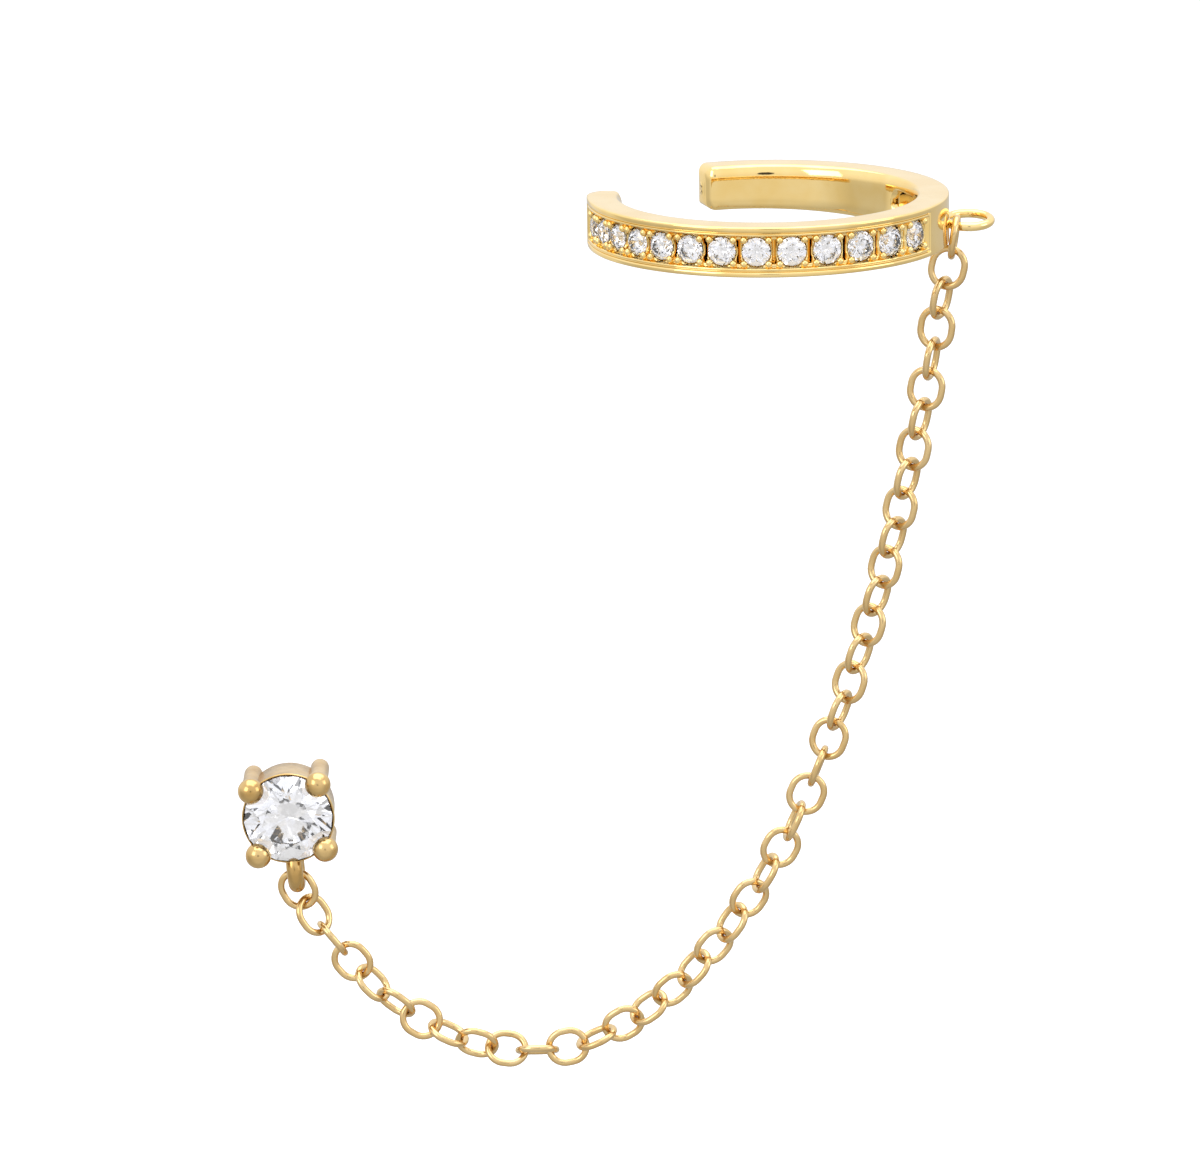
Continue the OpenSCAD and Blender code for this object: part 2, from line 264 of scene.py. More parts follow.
def tube(path, radius, sides=16, closed=False, normal=(0, 0, 1)):
    """A round tube along a path that lies in one plane with the given normal.

    Each ring is path + radius * (cos a * side + sin a * normal), side being across the path in its plane.
    """
    path = np.asarray(path, float)
    ahead = np.roll(path, -1, 0) - np.roll(path, 1, 0) if closed else np.gradient(path, axis=0)
    ahead /= np.linalg.norm(ahead, axis=1)[:, None]
    up = np.broadcast_to(np.asarray(normal, float), path.shape)
    side = np.cross(up, ahead)
    a = np.linspace(0, 2 * PI, sides, endpoint=False)
    r = np.broadcast_to(np.asarray(radius, float), len(path))[:, None, None]
    ring = np.cos(a)[None, :, None] * side[:, None] + np.sin(a)[None, :, None] * up[:, None]
    points = (path[:, None] + r * ring).reshape(-1, 3)
    quads = grid_faces(len(path), sides, wrap_rows=closed)[:, ::-1]
    if closed:
        return points, quads, np.empty((0, 3), int)
    n = len(points)
    points = np.vstack([points, path[:1], path[-1:]])
    tris = np.vstack([fan(np.arange(sides), n, False), fan(np.arange(n - sides, n), n + 1, True)])
    return points, quads, tris


def merged(parts):
    """Joins several (points, quads, tris) into one."""
    points, quads, tris, base = [], [], [], 0
    for p, q, t in parts:
        points.append(p)
        quads.append(np.asarray(q, int).reshape(-1, 4) + base)
        tris.append(np.asarray(t, int).reshape(-1, 3) + base)
        base += len(p)
    return np.vstack(points), np.vstack(quads), np.vstack(tris)


def copies(shape, frames, centres, scales=None):
    """Repeats (points, quads, tris) at each centre, turned by each 3x3 frame whose rows are its axes."""
    points, quads, tris = shape
    n = len(centres)
    scales = np.ones(n) if scales is None else np.asarray(scales)
    placed = np.einsum("pk,nkj->npj", points, frames) * scales[:, None, None] + np.asarray(centres)[:, None]
    step = (np.arange(n) * len(points))[:, None, None]
    return (
        placed.reshape(-1, 3),
        (np.asarray(quads)[None] + step).reshape(-1, 4),
        (np.asarray(tris).reshape(1, -1, 3) + step).reshape(-1, 3),
    )


def ball(rings, sides):
    """A ball of radius 1 about the origin."""
    a = np.linspace(-PI / 2, PI / 2, rings + 1)
    return lathe(np.stack([np.cos(a), np.sin(a)], -1), sides)


def smooth_step(x):
    """0 below 0, 1 above 1, and a smooth S between."""
    x = np.clip(x, 0, 1)
    return x * x * (3 - 2 * x)


# Cuff

# Profile of the border inside the rim: distance from the rim and depth of a fine cut line, a low
# ridge and the wall of the field
BORDER_AT = np.array([0, 0.014, 0.034, 0.054, 0.068, 0.082, 0.112, 0.13, 0.15, 0.165, 0.185])
BORDER_DEEP = np.array([0, 0.035, 0.095, 0.04, 0.01, 0.004, 0.006, 0.018, 0.075, 0.115, 0.13])
RIM = 0.16
# How deep a bead's centre lies below the face, and how far it stands off its stone
BEAD_SINK = 0.105
BEAD_OFF = 0.1
# The hollow behind the row: half its height, its depth, and how far beyond its round end the rows of
# the grid spread out again
HOLLOW_HALF = 0.42
HOLLOW_DEPTH = 0.3
HOLLOW_REJOIN = 0.6


def drawn_in(along, radius):
    """How far a rounded edge of a radius draws a section in, at a distance along from the end."""
    return radius - np.sqrt(radius**2 - np.clip(radius - along, 0, radius) ** 2)


def band_stations(s):
    """Angles of the band's cross-sections, and how far the ends' rounding moves their outside in, their
    inside out and their height down.

    The ends follow quarter circles: at turn f of one a section lies radius * (1 - sin f) from the end.
    The field gets dense stations, for its seats and slots.
    """
    mid = s.radius - s.wall / 2
    steps = 1 - np.sin(np.linspace(PI / 2, 0, 10))
    rounds = (s.front_round, s.front_inner, s.front_edge)
    front_along = np.unique(np.concatenate([steps * radius for radius in rounds]))
    back_along = steps * s.end_round
    lead_from = s.front_end + np.degrees(s.front_round / mid)
    plain_to = s.back_end - np.degrees(s.end_round / mid)
    near = HOLLOW_HALF / (s.radius - s.wall)
    end = np.degrees(near * (1 - np.cos(np.linspace(0, PI / 2, 14))))
    field = np.arange(s.field_from - 0.6, s.field_to + 0.7, 0.23)
    plain = np.arange(s.field_to + 1.4, plain_to - 0.5, 1.5)
    lead = np.arange(lead_from + 1.5, s.field_from - 0.7, 1.5)
    middle = np.concatenate([lead, field, plain, s.hollow_to - end])
    middle = np.unique(np.round(middle, 3))
    start = s.front_end + np.degrees(front_along / mid)
    stop = s.back_end - np.degrees(back_along / mid)
    turns = np.concatenate([start, middle, stop[::-1]])
    level = np.zeros(len(middle))
    back = drawn_in(back_along, s.end_round)[::-1]
    moves = np.stack([np.r_[drawn_in(front_along, radius), level, back] for radius in rounds])
    order = np.argsort(turns, kind="stable")
    return turns[order], moves[:, order]


def cut_stones(turn, z, deep, s):
    """Adds the seats, drill holes and slots to the depth of the front.

    A seat is a wall at the girdle and then a cone as steep as the pavilion, down to a drilled hole.
    """
    diameters, angles = row_diameters(), row_angles()
    for d, a in zip(diameters, angles):
        across = np.radians(turn - a) * (s.radius - 0.1)
        rho = np.hypot(across, z)
        reach = d / 2 + 0.03
        girdle = TABLE_SINK + d * (CROWN + GIRDLE) + 0.03
        cone = girdle + (reach - rho) * PAVILION * 2
        seat = np.interp(rho, [0, 0.16 * d, 0.2 * d], [1.02, 1.0, 0])
        pit = np.where(rho < reach, np.maximum(cone, seat * (girdle + 0.42 * d)), 0)
        edge = smooth_step((reach + 0.02 - rho) / 0.02)
        deep = np.maximum(deep, edge * np.maximum(pit, girdle * (rho < reach + 0.02)))
    for a in (angles[1:] + angles[:-1]) / 2:
        across = np.abs(np.radians(turn - a)) * (s.radius - 0.1)
        cut = np.clip(1.15 - across / 0.07, 0, 1) * smooth_step((0.42 - np.abs(z)) / 0.08)
        deep = np.maximum(deep, np.where(cut > 0, 0.13 + 0.5 * cut, 0))
    return deep


def end_cap(ring, ahead):
    """Rings that close an end of the band with a slightly domed face, and the dome's tip.

    A ring shrunk to a part k of its size lies 0.03 * (1 - k * k) ahead of the end.
    """
    centre = ring.mean(0)
    k = np.array([0.97, 0.85, 0.6, 0.3])[:, None, None]
    return centre + (ring - centre) * k + ahead * 0.03 * (1 - k * k), centre + ahead * 0.03


def cuff_surface(s):
    """The whole band as one grid: cross-sections round the cuff, each a loop of points.

    A section runs up the front face, over the top, down the inside and back below. Radius and height
    follow from the point's place in the loop, the band's taper, the rounding of the ends, and the depth
    of the field, the seats and the inner hollow at that angle.
    """
    turns, moves = band_stations(s)
    rim = s.half_height - RIM
    edge = s.edge_round
    upper = np.concatenate([[s.half_height - edge, s.half_height - 0.1], rim - BORDER_AT])
    floor = np.linspace(-upper[-1], upper[-1], 35)[1:-1]
    front = np.concatenate([-upper, floor, upper[::-1]])
    quarter = np.linspace(0, PI / 2, 5)[1:]
    turn = turns[:, None]
    rad = np.radians(turn)
    outer = s.radius - moves[0][:, None]
    inner = s.radius - s.wall + moves[1][:, None]
    high = s.half_height - moves[2][:, None]
    squeeze = high / s.half_height

    front_z = front[None] * squeeze
    along = np.radians(np.minimum(turn - s.field_from, s.field_to - turn)) * s.radius
    inward = np.minimum(rim - np.abs(front_z), along)
    deep = np.interp(inward, BORDER_AT, BORDER_DEEP)
    deep = np.where(inward > 0.1, cut_stones(turn, front_z, deep, s), deep)
    front_r = outer - deep

    def flat(values):
        return np.broadcast_to(values, (len(turns), np.shape(values)[-1]))

    top_out_r = flat(outer - edge + edge * np.cos(quarter)[None])
    top_out_z = flat(high - edge + edge * np.sin(quarter)[None])
    across = np.linspace(0, 1, 6)[1:-1][None]
    top_r = outer - edge + (inner + s.ease_deep + 2 * edge - outer) * across
    top_z = flat(high + 0 * across)

    reach = np.radians(np.minimum(turn - s.hollow_from, s.hollow_to - turn)) * (s.radius - s.wall)
    round_end = np.sqrt(1 - (1 - np.clip(reach / HOLLOW_HALF, 0, 1)) ** 2)
    spread = np.where(reach > 0, round_end, smooth_step(-reach / HOLLOW_REJOIN))
    open_z = HOLLOW_HALF * np.maximum(spread, 0.004)
    sunk = np.where(reach > 0, HOLLOW_DEPTH * smooth_step(open_z / 0.12), 0)
    lip_z = open_z + 0.03
    eased_z = lip_z + (s.half_height - lip_z) * np.sin(np.linspace(PI / 2, 0, 13))[None]
    across = np.linspace(1, -1, 23)[1:-1][None]
    inside_z = np.hstack([eased_z, open_z * across, -eased_z[:, ::-1]])
    above = np.abs(inside_z) - s.half_height
    corner = np.clip(1 + above / edge, 0, 1)
    away = s.ease_deep * np.clip(1 + above / s.ease_high, 0, 1) ** 3 + edge * (1 - np.sqrt(1 - corner**2))
    floor_in = sunk * np.clip((1 - np.abs(across)) / 0.1, 0, 1) ** 0.5
    for d, a in zip(row_diameters(), row_angles()):
        rho = np.hypot(np.radians(turn - a) * (s.radius - s.wall + HOLLOW_DEPTH), open_z * across)
        floor_in = floor_in + 0.1 * smooth_step((0.2 * d + 0.02 - rho) / 0.04)
    beside = np.zeros(eased_z.shape)
    inside_r = inner + away + np.hstack([beside, floor_in, beside])

    radius = np.hstack([front_r, top_out_r, top_r, inside_r, top_r[:, ::-1], top_out_r[:, ::-1]])
    below = -np.hstack([top_out_z, top_z])[:, ::-1]
    height = np.hstack([front_z, top_out_z, top_z, inside_z * squeeze, below])
    slope = s.taper / (s.radius - 2.2)
    lift = slope * np.clip(radius * np.cos(rad - math.radians(s.back_end)) - 2.2, 0, None)
    height = np.where(height < 0, height * (1 - lift / s.half_height), height)
    grid = np.stack([radius * np.cos(rad), radius * np.sin(rad), height], -1)
    start, start_tip = end_cap(grid[0], -np.array([-math.sin(rad[0, 0]), math.cos(rad[0, 0]), 0]))
    stop, stop_tip = end_cap(grid[-1], np.array([-math.sin(rad[-1, 0]), math.cos(rad[-1, 0]), 0]))
    grid = np.concatenate([start[::-1], grid, stop])
    rows, cols = grid.shape[:2]
    n = rows * cols
    points = np.vstack([grid.reshape(-1, 3), start_tip, stop_tip])
    quads = grid_faces(rows, cols)
    tris = np.vstack([fan(np.arange(cols), n, True), fan(np.arange(n - cols, n), n + 1, False)])
    return points, quads, tris


def bead_places(s):
    """Centre and outward frame of every bead: four beside each stone, just clear of its crown."""
    d = row_diameters()[:, None]
    a = np.radians(row_angles())[:, None]
    off = (d / 2 + BEAD_OFF) * math.sqrt(0.5)
    side = off * [[-1, -1, 1, 1]]
    lift = off * 0.97 * [[-1, 1, -1, 1]]
    out = np.stack([np.cos(a), np.sin(a), 0 * a], -1)
    along = np.stack([-np.sin(a), np.cos(a), 0 * a], -1)
    up = np.array([0, 0, 1.0])
    centres = out * (s.radius - BEAD_SINK) + along * side[..., None] + up * lift[..., None]
    frames = np.stack([along, np.cross(out, along), out], -2)
    frames = np.broadcast_to(frames, (len(d), 4, 3, 3))
    sizes = np.broadcast_to(s.bead * (0.9 + 0.1 * d), (len(d), 4))
    return centres.reshape(-1, 3), frames.reshape(-1, 3, 3), sizes.ravel()


def side_ring(s):
    """The ring soldered on the right: a closed tube whose front dips."""
    a = np.linspace(0, 2 * PI, 72, endpoint=False)
    path = s.ring * np.stack([np.cos(a), np.sin(a), 0 * a], -1)
    points, quads, tris = tube(path, s.ring_wire, 16, True)
    t = math.radians(s.ring_tilt)
    dip = np.array([[1, 0, 0], [0, math.cos(t), math.sin(t)], [0, -math.sin(t), math.cos(t)]])
    return points @ dip + RING_AT, quads, tris


# Chain


def loose_parts(mesh):
    """The number of the loose solid that each vertex of a mesh belongs to."""
    co = np.empty(len(mesh.vertices) * 3)
    mesh.vertices.foreach_get("co", co)
    co = co.reshape(-1, 3)
    _, same = np.unique(np.round(co * 1e7).astype(np.int64), axis=0, return_inverse=True)
    same = same.ravel()
    edges = np.empty(len(mesh.edges) * 2, np.int32)
    mesh.edges.foreach_get("vertices", edges)
    a, b = same[edges.reshape(-1, 2)].T
    label = np.arange(same.max() + 1)
    while True:
        low = label.copy()
        np.minimum.at(low, a, label[b])
        np.minimum.at(low, b, label[a])
        low = low[low]
        if (low == label).all():
            return co, label[same]
        label = low


def link_frames(mesh):
    """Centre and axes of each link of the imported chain, in millimetres.

    The centre is the middle of its surface. The axes are those of the spread of its surface, longest
    first, so a link's length, width and thickness.
    """
    co, label = loose_parts(mesh)
    mesh.calc_loop_triangles()
    corner = np.empty(len(mesh.loop_triangles) * 3, np.int32)
    mesh.loop_triangles.foreach_get("vertices", corner)
    corner = corner.reshape(-1, 3)
    tri = co[corner] / MM
    area = np.linalg.norm(np.cross(tri[:, 1] - tri[:, 0], tri[:, 2] - tri[:, 0]), axis=1)
    mid = tri.mean(1)
    owner = label[corner[:, 0]]
    centres, frames = [], []
    for part in np.unique(owner):
        w, m = area[owner == part], mid[owner == part]
        centre = (w[:, None] * m).sum(0) / w.sum()
        spread = (m - centre).T @ ((m - centre) * w[:, None])
        _, axes = np.linalg.eigh(spread)
        long, wide = axes[:, 2], axes[:, 1]
        centres.append(centre)
        frames.append([wide, np.cross(long, wide), long])
    return np.array(centres), np.array(frames)


def link_shape(s):
    """One link: a round wire along two half circles joined by straight sides, flat in X and Z."""
    turn = (s.wide - s.wire) / 2
    straight = (s.long - s.wide) / 2
    a = np.linspace(0, PI, 21)
    top = np.stack([turn * np.cos(a), 0 * a, straight + turn * np.sin(a)], -1)
    low = np.stack([-turn * np.cos(a), 0 * a, -straight - turn * np.sin(a)], -1)
    return tube(np.vstack([top, low]), s.wire / 2, 12, True, normal=(0, 1, 0))


# Stud

# Radius of the post, and of the collar at its foot
POST = 0.4
COLLAR = 0.65
# How far the prongs, and the loop's centre, lie outside the stone, and the depth of the loop
PRONG_OFFSET = 0.11
LOOP_OFFSET = 0.46
LOOP_DEPTH = 0.7


def to_stud(points, s):
    """From the stud's own axes, +Z back from the stone, to the frame: turned by the roll, then moved."""
    r = math.radians(s.roll)
    x, y, z = points[:, 0], points[:, 2], points[:, 1]
    turned = np.stack([x * math.cos(r) + z * math.sin(r), y, -x * math.sin(r) + z * math.cos(r)], -1)
    return turned + [-s.left, -s.front, -s.drop]


def stud_piece(name, shape, s):
    """Makes a piece of the stud; swapping two axes mirrors it, so its faces are turned over."""
    points, quads, tris = shape
    return build_mesh(name, to_stud(points, s), np.asarray(quads)[:, ::-1], np.asarray(tris)[:, ::-1])


def clear_of_stone(points, s):
    """Moves points inside the stone straight out to its surface, as a setter cuts the metal away.

    The stone's radius falls evenly from the girdle to the table in front and to the culet behind.
    """
    d = 2 * s.stone
    depth = points[:, 2]
    room = np.interp(
        depth, [-d * CROWN, 0, d * GIRDLE, d * (GIRDLE + PAVILION)], [s.stone * TABLE, s.stone, s.stone, 0]
    )
    room = np.where((depth > -d * CROWN) & (depth < d * (GIRDLE + PAVILION)), room + 0.01, 0)
    rho = np.hypot(points[:, 0], points[:, 1])
    points[:, :2] *= np.where(rho < room, room / np.maximum(rho, 1e-6), 1)[:, None]
    return points


def cup_profile(s):
    """Cross-section of the cup: inside bottom, seat, narrow rim round the girdle, wall, back plate."""
    r, back = s.stone, s.depth
    inside = [(0, 1.55), (0.3, 1.55), (0.62, 1.4), (1.0, 0.9), (r - 0.24, 0.5), (r - 0.22, 0.36)]
    rim = [(r - 0.06, 0.19), (r + 0.01, 0.1), (r + 0.025, 0.045), (r + 0.045, 0.03), (r + 0.065, 0.045)]
    wall = [(r + 0.075, 0.09), (r + 0.06, 0.2), (r + 0.04, 0.5), (r + 0.02, back - 0.3)]
    plate = [(r - 0.02, back - 0.12), (r - 0.12, back + 0.02), (1.15, back + 0.17), (1.08, back + 0.21)]
    return np.array(inside + rim + wall + plate + [(0.6, back + 0.22), (0, back + 0.22)])


def prong_shape(s):
    """A prong: a wire that is rounded behind and swells into a ball in front."""
    join = 0.72
    a = np.linspace(PI / 2, 0, 7)
    back = np.stack([s.prong * np.cos(a), s.depth + s.prong * np.sin(a)], -1)
    stem = [(s.prong, s.depth - 0.1), (s.prong, s.depth / 2), (s.prong, 0.5), (s.prong + 0.01, 0.34)]
    b = np.linspace(join, -PI / 2, 14)
    tip = np.stack([s.ball * np.cos(b), -s.tip + s.ball * np.sin(b)], -1)
    rows = np.vstack([back, stem, tip])
    rows[0, 0] = rows[-1, 0] = 0
    return lathe(rows[::-1], 32)


def prong_places(s):
    """Centres of the four prongs round the stone, at the corners of a square."""
    a = np.radians(np.arange(45, 360, 90))
    return (s.stone + PRONG_OFFSET) * np.stack([np.cos(a), np.sin(a), 0 * a], -1)


def post_shape(s):
    """The post: a wire with a round tip, a shallow groove and a collar at its foot, slanted down."""
    r, foot = POST, COLLAR
    collar = [(0, 0), (foot, 0), (foot, 0.4), (foot - 0.015, 0.435), (foot - 0.05, 0.45)]
    collar += [(r + 0.03, 0.45), (r, 0.48)]
    a = np.linspace(0, PI / 2, 7)
    tip = np.stack([r * np.cos(a), s.post + r * np.sin(a)], -1)
    from_tip = np.array([[0, 1.9], [0.03, 1.8], [0.06, 1.65], [0.03, 1.5], [0, 1.4]])
    groove = np.stack([r - from_tip[:, 0], s.post - from_tip[:, 1]], -1)
    rows = np.vstack([collar, [(r, s.post / 4), (r, s.post / 2)], groove, tip])
    rows[-1, 0] = 0
    points, quads, tris = lathe(rows, 40)
    t = math.radians(s.slant)
    up, back = points[:, 1].copy(), points[:, 2].copy()
    points[:, 1] = up * math.cos(t) - back * math.sin(t)
    points[:, 2] = up * math.sin(t) + back * math.cos(t) + s.depth
    return points, quads, tris


# Materials


def noise(tree, source, scale, detail=3.0, rough=0.5):
    """A noise node read at object coordinates."""
    node = tree.nodes.new("ShaderNodeTexNoise")
    node.inputs["Scale"].default_value = scale
    node.inputs["Detail"].default_value = detail
    node.inputs["Roughness"].default_value = rough
    tree.links.new(source, node.inputs["Vector"])
    return node.outputs["Fac"]


def ranged(tree, value, low, high, out_low, out_high):
    """Maps a value from one range to another."""
    node = tree.nodes.new("ShaderNodeMapRange")
    for name, number in zip(("From Min", "From Max", "To Min", "To Max"), (low, high, out_low, out_high)):
        node.inputs[name].default_value = number
    tree.links.new(value, node.inputs["Value"])
    return node.outputs["Result"]


def product(tree, first, second):
    """The product of two values."""
    node = tree.nodes.new("ShaderNodeMath")
    node.operation = "MULTIPLY"
    tree.links.new(first, node.inputs[0])
    tree.links.new(second, node.inputs[1])
    return node.outputs[0]


def towards(tree, way, aim):
    """The cosine of the angle between a direction and a fixed one."""
    node = tree.nodes.new("ShaderNodeVectorMath")
    node.operation = "DOT_PRODUCT"
    tree.links.new(way, node.inputs[0])
    node.inputs[1].default_value = aim
    return node.outputs["Value"]


def gold_group():
    """Node group of worked gold: a faint drift of colour, of polish, and of the surface's height."""
    tree = bpy.data.node_groups.get("Worked gold")
    if tree:
        return tree
    tree = bpy.data.node_groups.new("Worked gold", "ShaderNodeTree")
    face = tree.interface
    light = face.new_socket("Light", in_out="INPUT", socket_type="NodeSocketColor")
    deep = face.new_socket("Deep", in_out="INPUT", socket_type="NodeSocketColor")
    polish = face.new_socket("Polish", in_out="INPUT", socket_type="NodeSocketFloat")
    light.default_value = (1.0, 0.78, 0.5, 1)
    deep.default_value = (0.95, 0.66, 0.33, 1)
    polish.default_value = 0.12
    face.new_socket("Color", in_out="OUTPUT", socket_type="NodeSocketColor")
    face.new_socket("Roughness", in_out="OUTPUT", socket_type="NodeSocketFloat")
    face.new_socket("Height", in_out="OUTPUT", socket_type="NodeSocketFloat")
    into = tree.nodes.new("NodeGroupInput")
    out = tree.nodes.new("NodeGroupOutput")
    place = tree.nodes.new("ShaderNodeTexCoord").outputs["Object"]
    mix = tree.nodes.new("ShaderNodeMix")
    mix.data_type = "RGBA"
    tree.links.new(ranged(tree, noise(tree, place, 900.0, 2.0), 0.35, 0.65, 0.0, 1.0), mix.inputs["Factor"])
    tree.links.new(into.outputs["Deep"], mix.inputs["A"])
    tree.links.new(into.outputs["Light"], mix.inputs["B"])
    tree.links.new(mix.outputs["Result"], out.inputs["Color"])
    drift = ranged(tree, noise(tree, place, 2600.0), 0.3, 0.7, 0.8, 1.25)
    tree.links.new(product(tree, drift, into.outputs["Polish"]), out.inputs["Roughness"])
    tree.links.new(noise(tree, place, 3000.0, 4.0, 0.6), out.inputs["Height"])
    return tree


def gold(name, light, deep, polish, bump):
    """Gold whose colour and polish come from the worked-gold group."""
    mat = bpy.data.materials.get(name) or bpy.data.materials.new(name)
    mat.use_nodes = True
    tree = mat.node_tree
    tree.nodes.clear()
    out = tree.nodes.new("ShaderNodeOutputMaterial")
    bsdf = tree.nodes.new("ShaderNodeBsdfPrincipled")
    group = tree.nodes.new("ShaderNodeGroup")
    group.node_tree = gold_group()
    group.inputs["Light"].default_value = (*light, 1)
    group.inputs["Deep"].default_value = (*deep, 1)
    group.inputs["Polish"].default_value = polish
    bsdf.inputs["Metallic"].default_value = 1.0
    ruffle = tree.nodes.new("ShaderNodeBump")
    ruffle.inputs["Strength"].default_value = bump
    ruffle.inputs["Distance"].default_value = 0.00002
    tree.links.new(group.outputs["Color"], bsdf.inputs["Base Color"])
    tree.links.new(group.outputs["Roughness"], bsdf.inputs["Roughness"])
    tree.links.new(group.outputs["Height"], ruffle.inputs["Height"])
    tree.links.new(ruffle.outputs["Normal"], bsdf.inputs["Normal"])
    tree.links.new(bsdf.outputs["BSDF"], out.inputs["Surface"])
    return mat


def brilliant_glass(name, tint):
    """A colourless stone that bends light strongly."""
    mat = bpy.data.materials.get(name) or bpy.data.materials.new(name)
    mat.use_nodes = True
    tree = mat.node_tree
    tree.nodes.clear()
    out = tree.nodes.new("ShaderNodeOutputMaterial")
    bsdf = tree.nodes.new("ShaderNodeBsdfPrincipled")
    bsdf.inputs["Base Color"].default_value = (*tint, 1)
    bsdf.inputs["Metallic"].default_value = 0.0
    bsdf.inputs["Roughness"].default_value = 0.04
    bsdf.inputs["IOR"].default_value = 2.42
    bsdf.inputs["Transmission Weight"].default_value = 1.0
    tree.links.new(bsdf.outputs["BSDF"], out.inputs["Surface"])
    return mat


def finish_piece(obj, material, slot, *nodes):
    """Gives a piece its material and its body, and hides the imported nodes it stands for. The slot is not
    used.
    """
    obj.data.materials.clear()
    obj.data.materials.append(material)
    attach(obj, "root")
    if nodes:
        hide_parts(*nodes)


# Operators


class EARRING_OT_cuff(bpy.types.Operator):
    """Build the band, its beads and its side ring"""

    bl_idname = "earring.cuff"
    bl_label = "Cuff"

    def execute(self, context):
        s = plain_sizes(context.scene.earring_cuff)
        look = context.scene.earring_finish
        metal = gold("Cuff gold", look.cuff, look.cuff_deep, look.cuff_polish, 0.1)
        band = build_mesh("cuff_body", *cuff_surface(s))
        finish_piece(band, metal, "cuff_gold", "cuff_band")
        centres, frames, sizes = bead_places(s)
        beads = build_mesh("cuff_beads", *copies(ball(10, 14), frames, centres, sizes))
        finish_piece(beads, metal, "cuff_gold")
        ring = build_mesh("cuff_ring", *side_ring(s))
        finish_piece(ring, metal, "cuff_gold")
        return {"FINISHED"}


class EARRING_OT_stones(bpy.types.Operator):
    """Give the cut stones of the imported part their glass"""

    bl_idname = "earring.stones"
    bl_label = "Stones"

    def execute(self, context):
        look = context.scene.earring_finish
        small = brilliant_glass("Row stone", look.row_tint)
        large = brilliant_glass("Stud stone", look.stud_tint)
        names = [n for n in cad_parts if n.startswith("cuff_stone_")]
        if len(names) != ROW_COUNT:
            raise RuntimeError("the packed part has another number of stones")
        for name in names + ["stud_stone"]:
            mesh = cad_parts[name].data
            mesh.materials.clear()
            mesh.materials.append(large if name == "stud_stone" else small)
        return {"FINISHED"}


class EARRING_OT_chain(bpy.types.Operator):
    """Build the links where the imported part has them"""

    bl_idname = "earring.chain"
    bl_label = "Chain"

    def execute(self, context):
        s = plain_sizes(context.scene.earring_chain)
        look = context.scene.earring_finish
        centres, frames = link_frames(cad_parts["chain"].data)
        if len(centres) < 2:
            raise RuntimeError("the packed chain has no loose links")
        links = build_mesh("chain_links", *copies(link_shape(s), frames, centres))
        metal = gold("Chain gold", look.chain, look.chain_deep, look.chain_polish, 0.3)
        finish_piece(links, metal, "chain_gold", "chain")
        return {"FINISHED"}


class EARRING_OT_stud(bpy.types.Operator):
    """Build the stud's cup, prongs, loop and post"""

    bl_idname = "earring.stud"
    bl_label = "Stud"

    def execute(self, context):
        s = plain_sizes(context.scene.earring_stud)
        look = context.scene.earring_finish
        metal = gold("Stud gold", look.stud, look.stud_deep, look.stud_polish, 0.6)
        cup = stud_piece("stud_cup", lathe(cup_profile(s), 96), s)
        finish_piece(cup, metal, "stud_gold", "stud_setting")
        square = np.broadcast_to(np.eye(3), (4, 3, 3))
        points, quads, tris = copies(prong_shape(s), square, prong_places(s))
        prongs = stud_piece("stud_prongs", (clear_of_stone(points, s), quads, tris), s)
        finish_piece(prongs, metal, "stud_gold")
        a = np.linspace(0, 2 * PI, 60, endpoint=False)
        low = -(s.stone + LOOP_OFFSET)
        path = np.stack([0 * a, low + s.loop * np.cos(a), LOOP_DEPTH + s.loop * np.sin(a)], -1)
        loop = stud_piece("stud_loop", tube(path, s.loop_wire, 20, True, normal=(1, 0, 0)), s)
        finish_piece(loop, metal, "stud_gold")
        post = stud_piece("stud_post", post_shape(s), s)
        finish_piece(post, metal, "stud_gold")
        return {"FINISHED"}


# The camera that fits the photo: lens and distance in mm, what it aims at, and its angles in degrees
CAMERA_LENS = 196.44
CAMERA_FAR = 220
CAMERA_AIM = np.array([-5.747, 0, -12.504])
CAMERA_RISE = 14.307
CAMERA_ROLL = -0.869
# The way to the white card low behind on the left, and how bright the dim part of the tent is
CARD_WAY = np.array([-0.686, 0.685, -0.247])
TENT_DIM = 0.74
# Cosines of the angles at the edge and the core of the lens opening in the tent
LENS_EDGE = math.cos(math.radians(7.5))
LENS_CORE = math.cos(math.radians(6))


def camera_axes():
    """The camera's directions to the right, ahead and up."""
    rise, roll = math.radians(CAMERA_RISE), math.radians(CAMERA_ROLL)
    ahead = np.array([0, math.cos(rise), -math.sin(rise)])
    side = np.array([1.0, 0, 0])
    up = np.cross(side, ahead)
    right = math.cos(roll) * side + math.sin(roll) * up
    return right, ahead, math.cos(roll) * up - math.sin(roll) * side


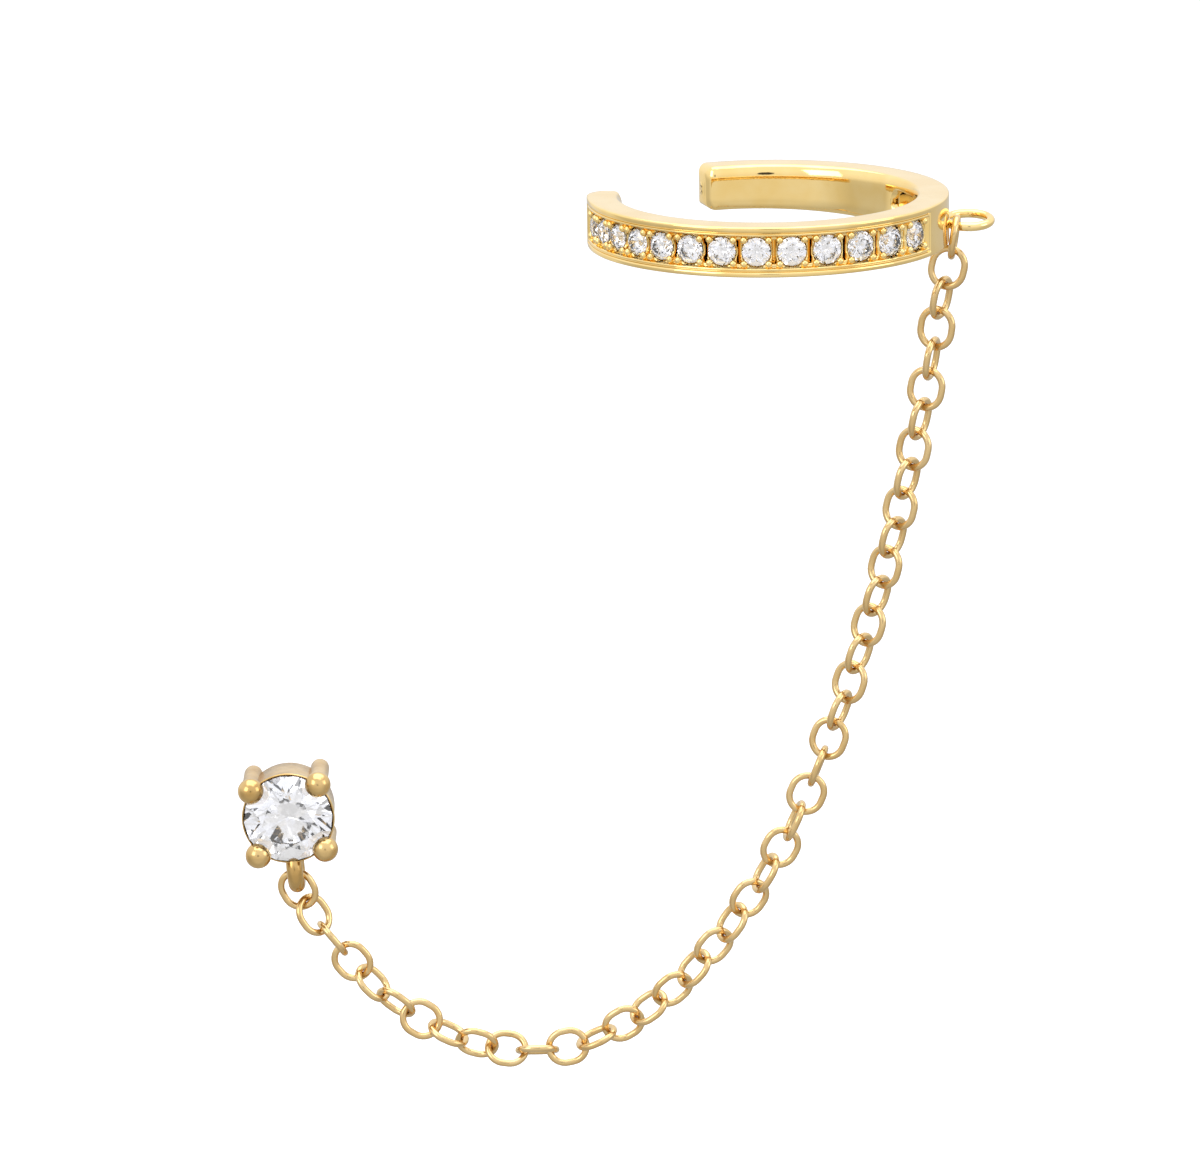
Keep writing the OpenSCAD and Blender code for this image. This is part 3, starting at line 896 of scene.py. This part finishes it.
class EARRING_OT_stage(bpy.types.Operator):
    """Set the floor, the light and the camera"""

    bl_idname = "earring.stage"
    bl_label = "Stage"

    def execute(self, context):
        scene = context.scene
        floor = build_mesh(
            "floor",
            np.array([[-900, -600, -60], [900, -600, -60], [900, 1800, -60], [-900, 1800, -60]]),
            [[0, 1, 2, 3]],
        )
        paper = bpy.data.materials.new("Floor")
        paper.use_nodes = True
        face = paper.node_tree.nodes["Principled BSDF"]
        face.inputs["Base Color"].default_value = (0.98, 0.98, 0.98, 1)
        face.inputs["Roughness"].default_value = 0.9
        floor.data.materials.append(paper)

        floor.visible_glossy = False
        floor.visible_transmission = False
        scene.view_settings.view_transform = "Standard"
        scene.world = self.room()
        self.light("Overhead", (0, 30, 170), 220, 0.25)
        self.light("Key", (-150, -130, 90), 110, 0.08)
        self.light("Fill", (170, -60, 60), 90, 0.035)
        self.camera(scene)
        return {"FINISHED"}

    def room(self):
        """A light tent: bright in front, brighter and cool above, dim low down at the sides and behind.

        A white card stands low behind on the left, and in front is a dark round opening for the lens. The
        metal and the stones mirror the tent; the camera itself sees plain white paper.
        """
        world = bpy.data.worlds.new("Studio")
        world.use_nodes = True
        tree = world.node_tree
        back = tree.nodes["Background"]
        way = tree.nodes.new("ShaderNodeTexCoord").outputs["Generated"]
        split = tree.nodes.new("ShaderNodeSeparateXYZ")
        tree.links.new(way, split.inputs[0])
        rise = ranged(tree, split.outputs["Z"], -0.4, 0.5, 0.8, 1.2)
        far = ranged(tree, split.outputs["Y"], -0.75, -0.3, 0.0, 1.0)
        low = ranged(tree, split.outputs["Z"], 0.15, -0.05, 0.0, 1.0)
        dim = product(tree, far, low)
        card = ranged(tree, towards(tree, way, CARD_WAY), math.cos(0.45), math.cos(0.3), 1.0, 0.0)
        shade = ranged(tree, product(tree, dim, card), 0.0, 1.0, 1.0, TENT_DIM)
        lens = ranged(tree, towards(tree, way, -camera_axes()[1]), LENS_EDGE, LENS_CORE, 1.0, 0.06)
        tent = product(tree, product(tree, rise, shade), lens)
        seen = tree.nodes.new("ShaderNodeMix")
        tree.links.new(tree.nodes.new("ShaderNodeLightPath").outputs["Is Camera Ray"], seen.inputs["Factor"])
        tree.links.new(tent, seen.inputs["A"])
        seen.inputs["B"].default_value = 1.0
        tree.links.new(seen.outputs["Result"], back.inputs["Strength"])
        cool = tree.nodes.new("ShaderNodeMix")
        cool.data_type = "RGBA"
        tree.links.new(ranged(tree, split.outputs["Z"], 0.0, 0.25, 0.0, 1.0), cool.inputs["Factor"])
        cool.inputs["A"].default_value = (1, 1, 1, 1)
        cool.inputs["B"].default_value = (0.98, 1.0, 1.06, 1)
        tree.links.new(cool.outputs["Result"], back.inputs["Color"])
        return world

    def light(self, name, place, size, power):
        """A square soft light at a place in millimetres that faces the piece."""
        data = bpy.data.lights.new(name, "AREA")
        data.size = size * MM
        data.energy = power
        lamp = bpy.data.objects.new(name, data)
        at = np.array(place) * MM
        aim = CAMERA_AIM * MM - at
        lamp.location = at
        lamp.rotation_euler = Vector(aim).to_track_quat("-Z", "Y").to_euler()
        bpy.context.scene.collection.objects.link(lamp)

    def camera(self, scene):
        """The camera that fits the photo."""
        data = bpy.data.cameras.new("Camera")
        data.sensor_width = 36.0
        data.lens = CAMERA_LENS
        data.clip_start = 0.01
        data.clip_end = 10.0
        cam = bpy.data.objects.new("Camera", data)
        right, ahead, up = camera_axes()
        world = np.eye(4)
        world[:3, :3] = np.stack([right, up, -ahead], -1)
        world[:3, 3] = (CAMERA_AIM - CAMERA_FAR * ahead) * MM
        cam.matrix_world = Matrix(world.tolist())
        scene.collection.objects.link(cam)
        scene.camera = cam


class EARRING_PT_panel(bpy.types.Panel):
    """Buttons that build each group of pieces."""

    bl_idname = "EARRING_PT_panel"
    bl_label = "Ear chain earring"
    bl_space_type = "VIEW_3D"
    bl_region_type = "UI"
    bl_category = "Earring"

    def draw(self, context):
        for key, kind in GROUPS.items():
            box = self.layout.box()
            for name in kind.__annotations__:
                box.prop(getattr(context.scene, key), name)
        for step in STEPS:
            self.layout.operator(step.bl_idname)


STEPS = (EARRING_OT_cuff, EARRING_OT_stones, EARRING_OT_chain, EARRING_OT_stud, EARRING_OT_stage)
GROUPS = {
    "earring_cuff": CuffSizes,
    "earring_chain": ChainSizes,
    "earring_stud": StudSizes,
    "earring_finish": Finish,
}
CLASSES = (*GROUPS.values(), *STEPS, EARRING_PT_panel)


def register():
    """Registers the classes and hangs the sizes on the scene."""
    for cls in CLASSES:
        bpy.utils.register_class(cls)
    for name, cls in GROUPS.items():
        setattr(bpy.types.Scene, name, bpy.props.PointerProperty(type=cls))


def unregister():
    """Takes the classes and the sizes away again."""
    for name in GROUPS:
        delattr(bpy.types.Scene, name)
    for cls in reversed(CLASSES):
        bpy.utils.unregister_class(cls)


def main():
    """Registers the add-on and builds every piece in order."""
    register()
    bpy.ops.earring.cuff()
    bpy.ops.earring.stones()
    bpy.ops.earring.chain()
    bpy.ops.earring.stud()
    bpy.ops.earring.stage()


if __name__ == "__main__":
    main()
